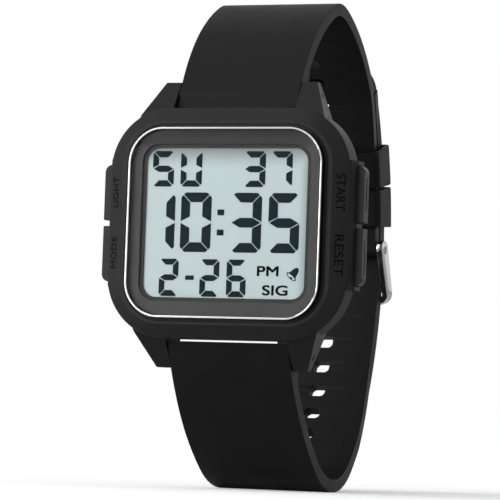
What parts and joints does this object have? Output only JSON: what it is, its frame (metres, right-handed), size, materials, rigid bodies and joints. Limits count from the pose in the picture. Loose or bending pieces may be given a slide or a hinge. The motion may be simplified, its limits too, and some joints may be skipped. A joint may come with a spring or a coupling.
{
  "type": "digital watch",
  "caption": "Digital watch with a wide display in a rounded case, side buttons, and a rubber strap buckled into a loop.",
  "frame": {"origin": "Middle of the case back's flat outer face, where the watch rests on the wrist.", "axes": "+X to the 3 o'clock side, +Z to 12 o'clock, +Y out of the case back through the strap loop; the face looks along -Y."},
  "size_m": [0.0476, 0.0597, 0.0859],
  "materials": {
    "case_resin": "satin moulded resin",
    "bezel_resin": "satin moulded resin",
    "bright_metal": "polished",
    "clear_window": "clear",
    "black_rubber": "matte",
    "mask_paint": "matte grey print",
    "black_plastic": "matte",
    "display_film": "pale satin film",
    "display_ink": "dark blue-black",
    "display_glass": "clear",
    "reflector_foil": "matte foil",
    "light_panel": "pale",
    "contact_rubber": "matte",
    "module_plastic": "moulded",
    "board_green": "solder mask",
    "potting": "cured resin",
    "can_metal": "drawn can",
    "cell_steel": "satin",
    "spring_steel": "bright",
    "disc_brass": "bright",
    "screw_steel": "turned",
    "back_steel": "brushed",
    "button_resin": "satin moulded resin",
    "strap_rubber": "matte moulded resin rubber",
    "keeper_rubber": "matte moulded resin rubber"
  },
  "bodies": {
    "watch": {"case_body": "case_resin", "bezel": "bezel_resin", "crystal_gasket": "black_rubber", "chrome_ring": "bright_metal", "crystal": "clear_window", "dial_mask": "mask_paint", "lcd_frame": "black_plastic", "lcd_polariser": "display_film", "lcd_segments": "display_ink", "lcd_glass": "display_glass", "lcd_reflector": "reflector_foil", "backlight_panel": "light_panel", "zebra_strips": "contact_rubber", "module_frame": "module_plastic", "circuit_board": "board_green", "main_chip": "potting", "quartz_crystal": "can_metal", "battery": "cell_steel", "battery_clip": "spring_steel", "module_screws": "screw_steel", "switch_contacts": "disc_brass", "piezo_buzzer": "disc_brass", "buzzer_spring": "spring_steel", "case_back": "back_steel", "case_screws": "screw_steel", "case_back_seal": "black_rubber", "lower_strap": "strap_rubber", "upper_strap": "strap_rubber", "fixed_keeper": "keeper_rubber", "light_button_spring": "spring_steel", "mode_button_spring": "spring_steel", "start_button_spring": "spring_steel", "reset_button_spring": "spring_steel", "upper_bar_tube": "spring_steel", "upper_bar_spring": "spring_steel", "lower_bar_tube": "spring_steel", "lower_bar_spring": "spring_steel"},
    "light_button": {"light_button": "button_resin", "light_button_seal": "black_rubber", "light_button_clip": "spring_steel"},
    "mode_button": {"mode_button": "button_resin", "mode_button_seal": "black_rubber", "mode_button_clip": "spring_steel"},
    "start_button": {"start_button": "button_resin", "start_button_seal": "black_rubber", "start_button_clip": "spring_steel"},
    "reset_button": {"reset_button": "button_resin", "reset_button_seal": "black_rubber", "reset_button_clip": "spring_steel"},
    "upper_bar_pin_left": {"upper_bar_pin_left": "screw_steel"},
    "upper_bar_pin_right": {"upper_bar_pin_right": "screw_steel"},
    "lower_bar_pin_left": {"lower_bar_pin_left": "screw_steel"},
    "lower_bar_pin_right": {"lower_bar_pin_right": "screw_steel"},
    "free_keeper": {"free_keeper": "keeper_rubber"},
    "buckle_frame": {"buckle_frame": "bright_metal", "buckle_bar": "screw_steel"},
    "buckle_tang": {"buckle_tang": "bright_metal"}
  },
  "joints": [
    {"name": "light_press", "type": "slide", "parent": "watch", "child": "light_button", "axis": [1, 0, 0], "range_m": [0, 0.0008], "stiffness_N_per_m": 600, "springref_m": -0.0012, "deforming": ["light_button_spring"]},
    {"name": "mode_press", "type": "slide", "parent": "watch", "child": "mode_button", "axis": [1, 0, 0], "range_m": [0, 0.0008], "stiffness_N_per_m": 600, "springref_m": -0.0012, "deforming": ["mode_button_spring"]},
    {"name": "start_press", "type": "slide", "parent": "watch", "child": "start_button", "axis": [-1, 0, 0], "range_m": [0, 0.0008], "stiffness_N_per_m": 600, "springref_m": -0.0012, "deforming": ["start_button_spring"]},
    {"name": "reset_press", "type": "slide", "parent": "watch", "child": "reset_button", "axis": [-1, 0, 0], "range_m": [0, 0.0008], "stiffness_N_per_m": 600, "springref_m": -0.0012, "deforming": ["reset_button_spring"]},
    {"name": "upper_bar_pin_left_slide", "type": "slide", "parent": "watch", "child": "upper_bar_pin_left", "axis": [1, 0, 0], "range_m": [0, 0.0014], "stiffness_N_per_m": 900, "springref_m": -0.001, "deforming": ["upper_bar_spring"]},
    {"name": "upper_bar_pin_right_slide", "type": "slide", "parent": "watch", "child": "upper_bar_pin_right", "axis": [-1, 0, 0], "range_m": [0, 0.0014], "stiffness_N_per_m": 900, "springref_m": -0.001, "deforming": ["upper_bar_spring"]},
    {"name": "lower_bar_pin_left_slide", "type": "slide", "parent": "watch", "child": "lower_bar_pin_left", "axis": [1, 0, 0], "range_m": [0, 0.0014], "stiffness_N_per_m": 900, "springref_m": -0.001, "deforming": ["lower_bar_spring"]},
    {"name": "lower_bar_pin_right_slide", "type": "slide", "parent": "watch", "child": "lower_bar_pin_right", "axis": [-1, 0, 0], "range_m": [0, 0.0014], "stiffness_N_per_m": 900, "springref_m": -0.001, "deforming": ["lower_bar_spring"]},
    {"name": "keeper_slide", "type": "hinge", "parent": "watch", "child": "free_keeper", "pos_m": [0, -0.01925, -0.0011], "axis": [1, 0, 0], "range_deg": [0, 6]},
    {"name": "buckle_pivot", "type": "hinge", "parent": "watch", "child": "buckle_frame", "pos_m": [0, 0.04165, -0.0011], "axis": [1, 0, 0], "range_deg": [0, 6]},
    {"name": "tang_pivot", "type": "hinge", "parent": "buckle_frame", "child": "buckle_tang", "pos_m": [0, 0.04165, -0.0011], "axis": [1, 0, 0], "range_deg": [0, 6]}
  ]
}
